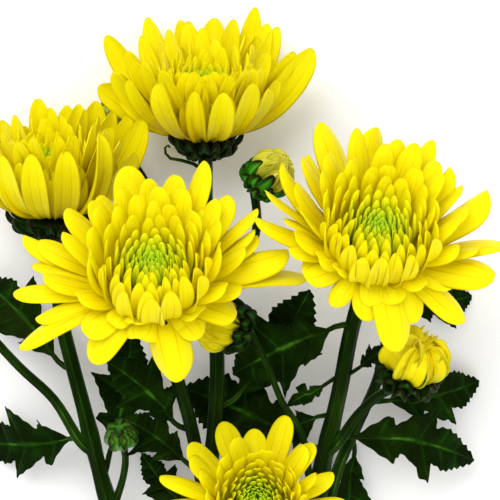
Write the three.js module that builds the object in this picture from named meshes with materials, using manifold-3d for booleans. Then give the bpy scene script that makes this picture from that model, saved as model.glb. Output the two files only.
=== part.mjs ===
// A cut spray chrysanthemum, lying on a flat surface with its flowers facing up.
//
// One stem carries side stems, five open flowers, seven buds and lobed leaves. The stem runs along +Y from
// its cut end to the top flower, +X is to the right, +Z is up, and every length is in millimetres. Places are
// given from the middle of the flower cluster, with the surface at about z = 0. The finished spray is then
// moved so that its origin is the middle of the underside of its box.
import * as THREE from "three";
import { mergeVertices } from "three/addons/utils/BufferGeometryUtils.js";
import Module from "manifold-3d";

const wasm = await Module();
wasm.setup();

// ---- Driving dimensions ----------------------------------------------------------------------------------
const GAP = 0.4; // clearance between two pieces that meet
const STEM_BELOW = 57; // bare stem below the lowest side stem
const STEM_RADIUS = 3.1; // at the cut end
const STEM_SIDES = 8; // a chrysanthemum stem is ribbed, so few sides suit it
const STEM_STEP = 14; // length of one straight piece of a bent stem

const PETAL_REACH = 1; // length of every petal, against the lengths given with its flower
const PETAL_BREADTH = 1; // width of every petal, likewise
const PETAL_THICK = 0.9;
const PETAL_CUP = 0.16; // how far a petal's edges lift, as a share of its half width
const HUB_RADIUS = 5; // the part of a flower head that its petals stand on
const HUB_HEIGHT = 2.6;
const CALYX_RADIUS = 9.5;
const CALYX_HEIGHT = 5.6;
const BUD_CALYX = 0.55; // height of a bud's calyx, as a share of the bud's radius
const STALK_APPROACH = 5; // the last stretch of a stalk is in line with what it carries

const LEAF_THICK = 1.1; // at the midrib
const LEAF_FORWARD = 0.55; // lobes point forward, by this share of their half width
const PETIOLE_HALF_WIDTH = 0.8;

const COLOURS = {
  stem: 0x2c4a14,
  leaf: 0x1d3a12,
  calyx: 0x274516,
  petal: 0xf6df12,
  heart: 0xb7d01e,
  greenBud: 0x3c7a1c,
};

// ---- Materials -------------------------------------------------------------------------------------------
const matt = (color, roughness) => new THREE.MeshStandardMaterial({ color, roughness, metalness: 0 });
const MATERIALS = {
  stem: matt(COLOURS.stem, 0.55),
  leaf: matt(COLOURS.leaf, 0.5),
  calyx: matt(COLOURS.calyx, 0.6),
  petal: matt(COLOURS.petal, 0.55),
  heart: matt(COLOURS.heart, 0.6),
  greenBud: matt(COLOURS.greenBud, 0.5),
};

// ---- Shaping helpers -------------------------------------------------------------------------------------
const spray = new THREE.Group();
const vector = (p) => new THREE.Vector3(...p);

// Leaves only positions, with shared vertices merged.
function bare(geometry) {
  geometry.deleteAttribute("normal");
  geometry.deleteAttribute("uv");
  return mergeVertices(geometry, 1e-4);
}

function addMesh(parent, name, geometry, material) {
  const mesh = new THREE.Mesh(geometry, material);
  mesh.name = name;
  parent.add(mesh);
  return mesh;
}

// A closed body of revolution that stands on +Y, from [radius, height] points given from the bottom up.
function lathe(profile, sides) {
  const points = profile.map(([radius, height]) => new THREE.Vector2(radius, height));
  return bare(new THREE.LatheGeometry(points, sides));
}

// The square frame of a curve at t: tangent along it, side as near to the wanted side as it can be, face up.
function frameAt(curve, t, side) {
  const tangent = curve.getTangentAt(t);
  const across = side.clone().addScaledVector(tangent, -side.dot(tangent)).normalize();
  return { point: curve.getPointAt(t), tangent, across, face: across.clone().cross(tangent) };
}

// Carries a body that stands on +Y, from height 0 to 1, onto a curve. Its +X follows the wanted side.
function carry(geometry, curve, side) {
  const position = geometry.attributes.position;
  for (let i = 0; i < position.count; i++) {
    const height = position.getY(i);
    const t = Math.min(1, Math.max(0, height));
    const { point, tangent, across, face } = frameAt(curve, t, side);
    const past = (height - t) * curve.getLength();
    point.addScaledVector(tangent, past);
    point.addScaledVector(across, position.getX(i)).addScaledVector(face, position.getZ(i));
    position.setXYZ(i, point.x, point.y, point.z);
  }
  return geometry;
}

function toSolid(geometry) {
  const { attributes, index } = geometry;
  const vertProperties = new Float32Array(attributes.position.array);
  const triVerts = new Uint32Array(index.array);
  return new wasm.Manifold(new wasm.Mesh({ numProp: 3, vertProperties, triVerts }));
}

function toGeometry(solid) {
  const { vertProperties, triVerts } = solid.getMesh();
  return new THREE.BufferGeometry()
    .setAttribute("position", new THREE.BufferAttribute(new Float32Array(vertProperties), 3))
    .setIndex(new THREE.BufferAttribute(new Uint32Array(triVerts), 1));
}

// ---- Stems -----------------------------------------------------------------------------------------------
// Each stem is a round tapered rod. It starts at its own first point, or on the face of a parent stem at the
// place nearest to that point, and it ends `shortBy` before its last point, where something else begins.
const stems = {};

function nearestOn(stem, point) {
  let best = { t: 0, distance: Infinity };
  for (let i = 0; i <= 200; i++) {
    const distance = stem.curve.getPointAt(i / 200).distanceTo(point);
    if (distance < best.distance) best = { t: i / 200, distance };
  }
  return best.t;
}

// The point on a stem's face, nearest to `from`, that looks towards `to`. `clear` is what is kept free of it.
function seatOn(stemName, from, to, clear) {
  const stem = stems[stemName];
  const t = nearestOn(stem, from);
  const centre = stem.curve.getPointAt(t);
  const outward = to.clone().sub(centre);
  const tangent = stem.curve.getTangentAt(t);
  outward.addScaledVector(tangent, -outward.dot(tangent)).normalize();
  const radius = THREE.MathUtils.lerp(stem.startRadius, stem.endRadius, t);
  return centre.addScaledVector(outward, radius + clear);
}

function addStem(name, { parent = null, points, startRadius, endRadius, shortBy = 0 }) {
  const route = points.map(vector);
  if (parent) {
    // The rod's end is square to its own line, so its rim would dip into the parent: it is held off for that.
    route[0] = seatOn(parent, route[0], route[1], GAP + 0.75 * startRadius);
  }
  if (shortBy) {
    const last = route[route.length - 1];
    const back = route[route.length - 2].clone().sub(last).normalize();
    last.addScaledVector(back, shortBy);
  }
  const curve = new THREE.CatmullRomCurve3(route, false, "centripetal");
  const steps = Math.max(3, Math.round(curve.getLength() / STEM_STEP));
  const rod = new THREE.CylinderGeometry(endRadius, startRadius, 1, STEM_SIDES, steps);
  rod.translate(0, 0.5, 0);
  stems[name] = { curve, startRadius, endRadius };
  return addMesh(spray, name, carry(bare(rod), curve, new THREE.Vector3(0, 0, 1)), MATERIALS.stem);
}

// ---- Flower heads and buds -------------------------------------------------------------------------------
// A head stands in its own group: +Y is the way it faces, and azimuth 0 is to the spray's right.
function headGroup(base, axis) {
  const up = vector(axis).normalize();
  const right = new THREE.Vector3(1, 0, 0).addScaledVector(up, -up.x).normalize();
  const group = new THREE.Group();
  group.position.copy(vector(base));
  group.quaternion.setFromRotationMatrix(new THREE.Matrix4().makeBasis(right, up, right.clone().cross(up)));
  spray.add(group);
  return group;
}

const degrees = THREE.MathUtils.degToRad;

// The direction, in a head's group, at this azimuth round it and this lift above its rim.
function direction(azimuth, lift) {
  const flat = Math.cos(degrees(lift));
  return new THREE.Vector3(
    flat * Math.cos(degrees(azimuth)),
    Math.sin(degrees(lift)),
    -flat * Math.sin(degrees(azimuth)),
  );
}

// One petal as a closed blade with sharp edges, from inside its hub to its tip. It leaves the hub at the
// lift `leave` and bends up or down from there to its tip.
function petal(azimuth, lift, length, { halfWidth, leave, blunt }) {
  const root = direction(azimuth, 0).multiplyScalar(HUB_RADIUS * 0.7);
  const reach = length * PETAL_REACH;
  const tip = direction(azimuth, lift).multiplyScalar(reach);
  const knee = root.clone().add(direction(azimuth, leave).multiplyScalar(0.4 * reach));
  const outline = [[0, 0], [0.28, 0.01], [0.8, 0.42], [1, 0.72], ...(blunt ? [[0.6, 0.93]] : []), [0, 1]];
  const blade = lathe(outline.map(([across, along]) => [across * halfWidth * PETAL_BREADTH, along]), 4);
  const position = blade.attributes.position;
  for (let i = 0; i < position.count; i++) {
    const lifted = PETAL_CUP * Math.abs(position.getX(i));
    position.setZ(i, Math.sign(Math.round(position.getZ(i) * 1e3)) * (PETAL_THICK / 2) - lifted);
  }
  const side = direction(azimuth + 90, 0);
  return carry(blade, new THREE.QuadraticBezierCurve3(root, knee, tip), side);
}

// A whorl of petals on a hub, in one piece, `height` above the head's base. rays are [azimuth, lift, length].
function addWhorl(group, name, height, rays, shape) {
  const hub = lathe(
    [
      [0, -HUB_HEIGHT / 2],
      [HUB_RADIUS, -HUB_HEIGHT / 2],
      [HUB_RADIUS, HUB_HEIGHT / 2],
      [0, HUB_HEIGHT / 2],
    ],
    12,
  );
  let whorl = toSolid(hub);
  for (const [azimuth, lift, length] of rays) {
    whorl = whorl.add(toSolid(petal(azimuth, lift, length, shape)));
  }
  addMesh(group, name, toGeometry(whorl), MATERIALS.petal).position.y = height;
}

// Rays spaced evenly round a head, with a little unevenness. back and front are lifts, behind and before.
function evenRays(count, first, back, front, length) {
  return Array.from({ length: count }, (_, i) => {
    const azimuth = first + (360 / count) * i;
    const share = (1 + Math.sin(degrees(azimuth))) / 2;
    return [azimuth, front + (back - front) * share, length * (1 + 0.06 * Math.sin(7 * i + first))];
  });
}

// The heart: a dome of short petals with a dimple in its middle, on the same hub radius.
const heartProfile = (bottom, top, radius) => [
  [0, bottom],
  [HUB_RADIUS, bottom],
  [radius, bottom + 0.35 * (top - bottom)],
  [radius, bottom + 0.75 * (top - bottom)],
  [0.6 * radius, top],
  [0, top - 0.12 * (top - bottom)],
];

// The green cup under a head: a dish of overlapping bracts that narrows to the stalk.
const calyxProfile = (radius, height, stalkRadius) => [
  [0, -height],
  [stalkRadius, -height],
  [0.72 * radius, -0.62 * height],
  [radius, -0.2 * height],
  [0.95 * radius, 0],
  [0, 0],
];

function addHead(name, { base, axis, scale, outer, middle, heart, stalkRadius }) {
  const group = headGroup(base, axis);
  const calyx = calyxProfile(CALYX_RADIUS * scale, CALYX_HEIGHT * scale, stalkRadius * 1.25);
  addMesh(group, `${name}_calyx`, lathe(calyx, 12), MATERIALS.calyx);
  const outerAt = GAP + HUB_HEIGHT / 2;
  addWhorl(group, `${name}_outer_petals`, outerAt, outer.rays, { ...outer, blunt: true });
  const middleAt = outerAt + HUB_HEIGHT + GAP;
  addWhorl(group, `${name}_middle_petals`, middleAt, evenRays(...middle.rays), { ...middle, blunt: false });
  const heartAt = middleAt + HUB_HEIGHT / 2 + GAP;
  addMesh(group, `${name}_heart`, lathe(heartProfile(heartAt, heart.top, heart.radius), 12), MATERIALS.heart);
}

// The last two points of a head's stalk, which meets the head square: just under it, and the way there.
function stalkEnds(base, axis, height) {
  const down = vector(axis).normalize().negate();
  const depths = [height + STALK_APPROACH, height];
  return depths.map((depth) => vector(base).addScaledVector(down, depth).toArray());
}

// Longer petals need more room, so a flower then stands further out: `away` is the way it moves.
const spreadOut = (base, away) => base.map((value, i) => value + away[i] * (PETAL_REACH - 1));

const HEADS = {
  // The terminal flower, cupped and seen from its side.
  top_flower: {
    base: [-13.4, 33.2, 21],
    axis: [0, 0.92, 0.39],
    scale: 0.95,
    stalkRadius: 1.9,
    outer: {
      halfWidth: 4.4,
      leave: 4,
      rays: [
        [165, 22, 35], [147, 36, 43], [122, 40, 43], [103, 38, 41], [85, 37, 42], [63, 42, 45], [46, 40, 41],
        [28, 26, 39], [11, 38, 41], [335, 41, 27], [312, 47, 30], [287, 45, 28], [262, 50, 26], [238, 43, 34],
        [208, 40, 33], [186, 38, 34],
      ],
    },
    middle: { rays: [12, 8, 60, 58, 27], halfWidth: 3.4, leave: 8 },
    heart: { top: 22, radius: 6 },
  },
  // The flower at the upper left, cupped as well.
  left_flower: {
    base: spreadOut([-58.8, 10.3, 21], [-40, -20, 0]),
    axis: [-0.03, 0.9, 0.43],
    scale: 1.05,
    stalkRadius: 2,
    outer: {
      halfWidth: 4.4,
      leave: 4,
      rays: [
        [172, 34, 29], [152, 46, 32], [128, 42, 33], [102, 48, 36], [80, 46, 34], [61, 44, 37],
        [35, 37, 42], [14, 42, 39], [345, 40, 34], [318, 54, 38], [290, 56, 32], [257, 56, 31],
        [228, 52, 31], [200, 42, 30],
      ],
    },
    middle: { rays: [12, 20, 61, 59, 26], halfWidth: 3.4, leave: 8 },
    heart: { top: 22, radius: 6 },
  },
  // The largest flower, in front of the rest and wide open.
  front_flower: {
    base: [-27.5, -12.8, 60.7],
    axis: [0, 0.62, 0.78],
    scale: 1.05,
    stalkRadius: 2,
    outer: {
      halfWidth: 4.7,
      leave: 8,
      rays: [
        [104, 30, 37], [79, 25, 35], [65, 32, 40], [48, 24, 35], [35, 20, 38], [17, 11, 40],
        [11, -3, 45], [345, -5, 25], [315, -10, 20], [285, -20, 28], [258, 4, 18], [229, -14, 28],
        [201, -8, 42], [184, 4, 40], [158, 10, 41], [138, 18, 35], [121, 24, 32],
      ],
    },
    middle: { rays: [14, 4, 48, 38, 27], halfWidth: 3.8, leave: 8 },
    heart: { top: 20, radius: 7.5 },
  },
  // The large flower on the right.
  right_flower: {
    base: [34.6, -2.3, 56.6],
    axis: [0.12, 0.6, 0.79],
    scale: 1,
    stalkRadius: 1.9,
    outer: {
      halfWidth: 4.6,
      leave: 8,
      rays: [
        [112, 20, 42], [92, 31, 37], [62, 28, 38], [44, 30, 34], [24, 24, 38], [2, 14, 39], [346, 10, 36],
        [327, -10, 33], [306, -14, 24], [288, -18, 30], [265, -14, 21], [236, -8, 21], [206, 0, 22],
        [178, 18, 37], [161, 20, 36], [145, 22, 37],
      ],
    },
    middle: { rays: [14, 12, 48, 38, 26], halfWidth: 3.7, leave: 8 },
    heart: { top: 20, radius: 7.5 },
  },
  // The lowest flower, smaller and facing almost straight up.
  lower_flower: {
    base: spreadOut([2, -76.9, 40.7], [0, -30, 0]),
    axis: [0, 0.5, 0.866],
    scale: 0.85,
    stalkRadius: 1.6,
    outer: {
      halfWidth: 4,
      leave: 8,
      rays: [
        [161, 10, 30], [180, 4, 29], [137, 12, 28], [111, 10, 29], [92, 10, 25], [73, 12, 30], [51, 12, 26],
        [24, 8, 25], [2, 6, 27], [342, 0, 29], [319, -4, 28], [296, -6, 30], [272, -8, 28], [248, -6, 30],
        [224, -2, 28], [202, 2, 29],
      ],
    },
    middle: { rays: [12, 10, 40, 32, 18], halfWidth: 3.2, leave: 8 },
    heart: { top: 14.5, radius: 6.5 },
  },
};

// A bud is a calyx and, unless it is still green and shut, the ball of petals that shows above it.
const BUDS = {
  upper_bud: {
    base: [3.4, 20.4, 35], axis: [0.68, 0.58, 0.45], radius: 5.8, height: 10.5, stalkRadius: 1.3,
  },
  right_bud: { base: [46.2, -36.2, 41], axis: [0.3, 0.76, 0.58], radius: 8, height: 13, stalkRadius: 1.5 },
  lower_bud: {
    base: [-3.8, -22.6, 41.5], axis: [-0.93, 0.18, 0.3], radius: 6.5, height: 12, stalkRadius: 1.1,
  },
  back_bud: { base: [43.6, 20, 13], axis: [0.1, 0.97, 0.22], radius: 5.8, height: 11, stalkRadius: 1.5 },
};
const GREEN_BUDS = {
  far_left_bud: { base: [-88, -13, 20], axis: [-0.7, 0.7, 0.15], radius: 5.2, stalkRadius: 1.4 },
  top_left_bud: { base: [-42, 36.5, 5.2], axis: [-0.5, 0.85, 0.1], radius: 4.6, stalkRadius: 1.3 },
  small_green_bud: { base: [-37.6, -58.4, 27], axis: [-0.14, 0.8, 0.58], radius: 4.3, stalkRadius: 1.2 },
};

function addBud(name, { base, axis, radius, height, stalkRadius }) {
  const group = headGroup(base, axis);
  const calyx = calyxProfile(0.92 * radius, BUD_CALYX * radius, stalkRadius * 1.2);
  addMesh(group, `${name}_calyx`, lathe(calyx, 10), MATERIALS.calyx);
  const ball = [
    [0, GAP],
    [0.85 * radius, GAP],
    [radius, 0.35 * height],
    [0.9 * radius, 0.7 * height],
    [0.5 * radius, 0.95 * height],
    [0, height],
  ];
  addMesh(group, `${name}_petals`, lathe(ball, 10), MATERIALS.petal);
}

function addGreenBud(name, { base, axis, radius, stalkRadius }) {
  const ball = [
    [0, 0],
    [stalkRadius * 1.2, 0],
    [0.9 * radius, 0.35 * radius],
    [radius, 0.9 * radius],
    [0.72 * radius, 1.5 * radius],
    [0, 1.75 * radius],
  ];
  addMesh(headGroup(base, axis), name, lathe(ball, 10), MATERIALS.greenBud);
}

// ---- Leaves ----------------------------------------------------------------------------------------------
// Half width of a leaf along its midrib, as [share of the width, share of the length]. Two pairs of lobes
// stand before the end lobe, with a narrow waist between them.
const LEAF_OUTLINE = [
  [0.3, 0.24],
  [0.62, 0.3],
  [0.26, 0.42],
  [1, 0.5],
  [0.84, 0.57],
  [0.32, 0.65],
  [0.62, 0.74],
  [0.34, 0.87],
];

function addLeaf(name, { on, from, tip, width, bow, sway, face }) {
  const end = vector(tip);
  const root = seatOn(on, vector(from), end, GAP + 1.3 * PETIOLE_HALF_WIDTH);
  const side = end.clone().sub(root).cross(vector(face)).normalize();
  const middle = root.clone().lerp(end, 0.5);
  middle.addScaledVector(vector(face).normalize(), bow).addScaledVector(side, sway);
  const curve = new THREE.QuadraticBezierCurve3(root, middle, end);
  const length = curve.getLength();
  const outline = [
    [0, 0],
    [PETIOLE_HALF_WIDTH, 0.005],
    [PETIOLE_HALF_WIDTH, 0.18],
    ...LEAF_OUTLINE.map(([across, along]) => [across * width, along]),
    [0, 1],
  ];
  const blade = lathe(outline, 4);
  const position = blade.attributes.position;
  for (let i = 0; i < position.count; i++) {
    const across = Math.abs(position.getX(i));
    const forward = (LEAF_FORWARD * Math.max(0, across - PETIOLE_HALF_WIDTH)) / length;
    position.setY(i, position.getY(i) + forward);
    position.setZ(i, Math.sign(Math.round(position.getZ(i) * 1e3)) * (LEAF_THICK / 2));
  }
  addMesh(spray, name, carry(blade, curve, side), MATERIALS.leaf);
}

// ---- The spray -------------------------------------------------------------------------------------------
// Where each flower's stalk has to end, from the flower's own base, axis and calyx.
const toHead = (name) =>
  stalkEnds(HEADS[name].base, HEADS[name].axis, CALYX_HEIGHT * HEADS[name].scale + GAP);
const toBud = (name) => stalkEnds(BUDS[name].base, BUDS[name].axis, BUD_CALYX * BUDS[name].radius + GAP);
const toGreenBud = (name) => stalkEnds(GREEN_BUDS[name].base, GREEN_BUDS[name].axis, GAP);

// The main stem rests on the surface at its cut end.
addStem("main_stem", {
  points: [
    [-2, -165 - STEM_BELOW, STEM_RADIUS], [-4, -165, 6.5], [-8, -112, 13], [-12.6, -74.6, 19],
    [-10.8, -56, 21], [-9.8, -34, 21], [-11.2, -10, 19.5], [-13, 12, 18.5], ...toHead("top_flower"),
  ],
  startRadius: STEM_RADIUS,
  endRadius: 1.9,
});
addStem("left_stem", {
  parent: "main_stem",
  points: [
    [-5, -150, 8], [-12.9 - STEM_RADIUS, -132, 10], [-42.9, -75.4, 15], [-48, -55, 17.5],
    [-53, -36, 18.5], [-57.5, -16, 18],
    ...toHead("left_flower"),
  ],
  startRadius: 2.6,
  endRadius: 2.1,
});
addStem("right_stem", {
  parent: "main_stem",
  points: [
    [-4, -162, 7], [6, -140, 12], [18.5, -92, 18], [21.4, -66, 22], [26.2, -44.6, 26], [29.6, -25, 34],
    ...toHead("right_flower"),
  ],
  startRadius: 2.8,
  endRadius: 2.1,
});
addStem("front_flower_stalk", {
  parent: "main_stem",
  points: [[-11.8, -86, 18], [-14.5, -68, 25], [-18.5, -48, 32], [-24, -30, 42], ...toHead("front_flower")],
  startRadius: 2,
  endRadius: 1.8,
});
addStem("lower_flower_stalk", {
  parent: "main_stem",
  points: [[-8.5, -116, 13], [-4, -104, 19], [0.5, -91, 27], ...toHead("lower_flower")],
  startRadius: 1.6,
  endRadius: 1.4,
});
addStem("right_back_stem", {
  parent: "right_stem",
  points: [[20.5, -78, 20], [28, -62, 15], [39, -38, 12], [43, -10, 10], ...toBud("back_bud")],
  startRadius: 1.7,
  endRadius: 1.4,
});
addStem("left_bud_stalk", {
  parent: "left_stem",
  points: [[-47.8, -56, 17.5], [-58, -46, 19], [-75.5, -28.7, 21], ...toGreenBud("far_left_bud")],
  startRadius: 1.5,
  endRadius: 1.2,
});
addStem("upper_bud_stalk", {
  parent: "main_stem",
  points: [[-10.4, -22, 20.5], [-4, -10, 26], [2, 6, 31], ...toBud("upper_bud")],
  startRadius: 1.4,
  endRadius: 1.2,
});
addStem("top_left_bud_stalk", {
  parent: "main_stem",
  points: [[-12, -6, 19], [-20, 5, 17], [-28, 15, 11], [-34.5, 25, 7], ...toGreenBud("top_left_bud")],
  startRadius: 1.4,
  endRadius: 1.2,
});
addStem("right_bud_stalk", {
  parent: "right_stem",
  points: [[23.4, -56, 24], [31, -50, 29], [40, -42, 35], ...toBud("right_bud")],
  startRadius: 1.5,
  endRadius: 1.3,
});
addStem("lower_bud_stalk", {
  parent: "right_stem",
  points: [[20.9, -68, 22], [14.8, -53, 28], [5, -37, 38], ...toBud("lower_bud")],
  startRadius: 1.1,
  endRadius: 0.9,
});
addStem("small_bud_stalk", {
  parent: "left_stem",
  points: [[-43, -75, 15], [-38, -68, 20], [-37, -62, 24], ...toGreenBud("small_green_bud")],
  startRadius: 1.1,
  endRadius: 1,
});
// A thin bract that has rolled up into a hook, just under the top flower.
addStem("curled_bract", {
  parent: "main_stem",
  points: [[-13.3, 25, 19], [-17.2, 26.2, 19.4], [-21.2, 27.6, 19.6], [-24.6, 29.6, 19.4], [-24.2, 31.8, 19]],
  startRadius: 0.55,
  endRadius: 0.35,
});

for (const [name, head] of Object.entries(HEADS)) addHead(name, head);
for (const [name, bud] of Object.entries(BUDS)) addBud(name, bud);
for (const [name, bud] of Object.entries(GREEN_BUDS)) addGreenBud(name, bud);

const LEAVES = {
  left_upper_leaf: {
    on: "left_stem", from: [-54, -34, 18], tip: [-82, -9, 6], width: 13, bow: 6, sway: 3, face: [0, 0.1, 1],
  },
  left_lower_leaf: {
    on: "left_stem", from: [-48, -56, 17], tip: [-82, -59, 0.4], width: 12, bow: 5, sway: -2,
    face: [0, 0, 1],
  },
  left_inner_leaf: {
    on: "left_stem", from: [-46, -64, 17], tip: [-36, -24, 12], width: 12, bow: 3, sway: 2,
    face: [0.3, 0, 1],
  },
  centre_upper_leaf: {
    on: "front_flower_stalk", from: [-17, -52, 31], tip: [-42, -33, 36], width: 12, bow: 3, sway: 2,
    face: [0.1, 0.3, 1],
  },
  centre_pointed_leaf: {
    on: "front_flower_stalk", from: [-15, -64, 26], tip: [-38, -50.5, 21], width: 9.5, bow: 3, sway: 2,
    face: [0, 0.2, 1],
  },
  centre_lower_leaf: {
    on: "main_stem", from: [-12, -82, 18], tip: [-33, -62, 6], width: 8, bow: 4, sway: -2, face: [0, 0.1, 1],
  },
  right_inner_leaf: {
    on: "right_stem", from: [28.5, -21, 34.5], tip: [-5, -37, 27.5], width: 14, bow: 2, sway: 2,
    face: [0, 0.1, 1],
  },
  middle_upper_leaf: {
    on: "main_stem", from: [-10, -46, 21], tip: [18, -12, 18], width: 14, bow: 3, sway: 3, face: [0, 0, 1],
  },
  middle_lower_leaf: {
    on: "right_stem", from: [22.5, -60, 23], tip: [-20, -42, 10.5], width: 16, bow: -1, sway: 2,
    face: [0, 0, 1],
  },
  right_big_leaf: {
    on: "right_stem", from: [22, -55, 23], tip: [68, -64, 9], width: 12, bow: 9, sway: -5, face: [0, 0.1, 1],
  },
  right_upper_leaf: {
    on: "right_back_stem", from: [36, -44, 13], tip: [70, -40, 4], width: 11, bow: 5, sway: 3,
    face: [0, 0, 1],
  },
  right_lower_leaf: {
    on: "right_back_stem", from: [30, -58, 14.5], tip: [31, -88, 3], width: 8, bow: 3, sway: 2,
    face: [0, 0, 1],
  },
  right_hidden_leaf: {
    on: "right_back_stem", from: [42, -16, 10.5], tip: [68, -14, 0.5], width: 9, bow: 3, sway: 2,
    face: [0, 0, 1],
  },
  small_right_leaf: {
    on: "right_stem", from: [28, -34, 30], tip: [40, -28, 36], width: 4, bow: 1, sway: 1, face: [0, 0, 1],
  },
  right_joint_leaf: {
    on: "right_stem", from: [26.6, -41, 28], tip: [11, -46.5, 27], width: 3.6, bow: 1.5, sway: 1,
    face: [0, 0.2, 1],
  },
  right_dark_leaf: {
    on: "right_stem", from: [24.5, -51, 25.5], tip: [7, -55, 24], width: 8, bow: 0.5, sway: 1,
    face: [0, 0, 1],
  },
};
for (const [name, leaf] of Object.entries(LEAVES)) addLeaf(name, leaf);

// The origin goes to the middle of the underside of the whole spray.
spray.updateMatrixWorld(true);
const box = new THREE.Box3().setFromObject(spray, true);
const middle = box.getCenter(new THREE.Vector3());
spray.position.set(-middle.x, -middle.y, -box.min.z);

const chrysanthemum = new THREE.Group();
chrysanthemum.add(spray);
export default chrysanthemum;
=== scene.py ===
# A cut spray chrysanthemum lying on a pale table, its flowers facing up and its cut end towards -Y.
# The sections follow the plant from the stem outwards: stems, cups of bracts, flowers, buds, leaves. The stage,
# the lights and the camera come last.
import math
import random

import bmesh
import bpy
from mathutils import Matrix, Vector


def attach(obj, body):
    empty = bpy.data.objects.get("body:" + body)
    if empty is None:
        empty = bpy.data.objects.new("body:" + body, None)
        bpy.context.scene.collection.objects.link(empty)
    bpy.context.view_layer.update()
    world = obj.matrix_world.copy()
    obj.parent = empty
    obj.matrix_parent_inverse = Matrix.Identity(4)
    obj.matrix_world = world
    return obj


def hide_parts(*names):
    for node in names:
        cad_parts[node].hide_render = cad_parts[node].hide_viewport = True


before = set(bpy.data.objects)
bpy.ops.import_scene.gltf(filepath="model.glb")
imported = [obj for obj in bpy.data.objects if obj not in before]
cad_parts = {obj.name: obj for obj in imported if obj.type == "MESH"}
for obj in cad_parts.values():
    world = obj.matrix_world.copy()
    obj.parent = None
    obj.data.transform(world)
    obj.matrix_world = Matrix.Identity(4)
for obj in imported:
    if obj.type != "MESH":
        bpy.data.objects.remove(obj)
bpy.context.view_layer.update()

# ---- Stems -----------------------------------------------------------
# A chrysanthemum stem is a firm green shoot with shallow ribs down its length. Side stems and stalks grow out
# of it at slight swellings, and the lower end is a clean cut that shows the pale pith.
MM = 0.001
UP = Vector((0, 0, 1))
WELD = 0.002 * MM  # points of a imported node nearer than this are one
SEAM = 0.01 * MM  # and those of a visible rod or bowl
RIBS = 6
RIB_DEPTH = 0.07  # as a share of the stem's radius
RIB_SIDES = 36
STEM_STEP = 2.5 * MM  # between two rings of a rod
SWELLING = 0.28  # how much thicker a stem is where another one leaves it
SWELLING_LENGTH = 5 * MM
FOOT_FLARE = 1.1  # a side stem's foot, against its packed radius
ROOT_FLARE = 1.15  # its root, sunk in the stem that it grows from, against its foot
ROOT_LIMIT = 0.7  # and against that stem's radius
STEM_PLACES = 90  # steps in which a stem is searched for the spot nearest to a foot
BACK_STEPS = 5  # places behind a foot that are tried, and how far apart they are
BACK_STEP = 1.5 * MM
END_OVERRUN = 1.2 * MM  # a stem's end runs this far on into the cup above it
CUT_SKIN = 0.5 * MM  # the clean cut: the skin's thickness, the slope inside it and the depth of the pith
CUT_SLOPE = 0.2 * MM
CUT_DEPTH = 0.25 * MM
LOBE_EDGES = 6  # a packed leaf's two ends are among the points where fewer edges than this meet
ROD_SIDES = 8  # the fewest edges that meet in the middle of a packed rod's end face
STEMS = [
    "main_stem", "left_stem", "right_stem", "front_flower_stalk", "lower_flower_stalk", "right_back_stem",
    "left_bud_stalk", "upper_bud_stalk", "top_left_bud_stalk", "right_bud_stalk", "lower_bud_stalk",
    "small_bud_stalk", "curled_bract",
]


def merged(node):
    """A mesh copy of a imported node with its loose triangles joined."""
    bm = bmesh.new()
    bm.from_mesh(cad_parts[node].data)
    bmesh.ops.remove_doubles(bm, verts=bm.verts, dist=WELD)
    return bm


def rings(node):
    """The rings of points along a rod or a blade, found by walking from the pole at its foot to its tip."""
    bm = merged(node)
    if node in STEMS:
        # A rod's two poles are the middles of its end faces, and its foot is the thicker end.
        poles = [v for v in bm.verts if len(v.link_edges) >= ROD_SIDES and near_flat(v)]
        foot = max(poles, key=lambda v: sum(e.calc_length() for e in v.link_edges) / len(v.link_edges))
    else:
        # A leaf's two poles are its ends, the points furthest apart, and its foot is the slimmer one.
        ends = [v for v in bm.verts if len(v.link_edges) < LOBE_EDGES]
        poles = max(
            ((a, b) for a in ends for b in ends if a.index < b.index),
            key=lambda pair: (pair[0].co - pair[1].co).length_squared,
        )
        foot = min(poles, key=lambda v: min(e.calc_length() for e in v.link_edges))
    seen, layer, found = {foot}, [foot], []
    while layer:
        found.append([v.co.copy() for v in layer])
        after = {e.other_vert(v) for v in layer for e in v.link_edges} - seen
        seen |= after
        layer = list(after)
    bm.free()
    return found


def near_flat(v):
    """Whether all the faces round a point lie in one plane."""
    normals = [f.normal for f in v.link_faces]
    return all(n.dot(normals[0]) > 0.999 for n in normals)


def middle_of(points):
    """The mean of these points."""
    return sum(points, Vector()) / len(points)


def along(points, share):
    """A place on the smooth line through points, at a share of the way from the first to the last."""
    place = min(max(share, 0), 1) * (len(points) - 1)
    i = min(int(place), len(points) - 2)
    t = place - i
    p0, p1, p2, p3 = (points[min(max(k, 0), len(points) - 1)] for k in (i - 1, i, i + 1, i + 2))
    return 0.5 * (
        2 * p1 + (p2 - p0) * t + (2 * p0 - 5 * p1 + 4 * p2 - p3) * t**2 + (3 * p1 - p0 - 3 * p2 + p3) * t**3
    )


def finish_piece(name, bm, materials, replaced):
    """Makes the mesh an object of the model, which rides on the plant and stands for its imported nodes."""
    mesh = bpy.data.meshes.new(name)
    bm.to_mesh(mesh)
    bm.free()
    for polygon in mesh.polygons:
        polygon.use_smooth = True
    for material in materials:
        mesh.materials.append(material)
    piece = bpy.data.objects.new(name, mesh)
    bpy.context.scene.collection.objects.link(piece)
    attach(piece, "root")
    if replaced:
        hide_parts(*replaced)
    return piece


def linear(code):
    """An sRGB hex colour as the linear one that a shader works in."""
    channels = [int(code[i : i + 2], 16) / 255 for i in (1, 3, 5)]
    return [c / 12.92 if c <= 0.04045 else ((c + 0.055) / 1.055) ** 2.4 for c in channels] + [1.0]


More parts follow.
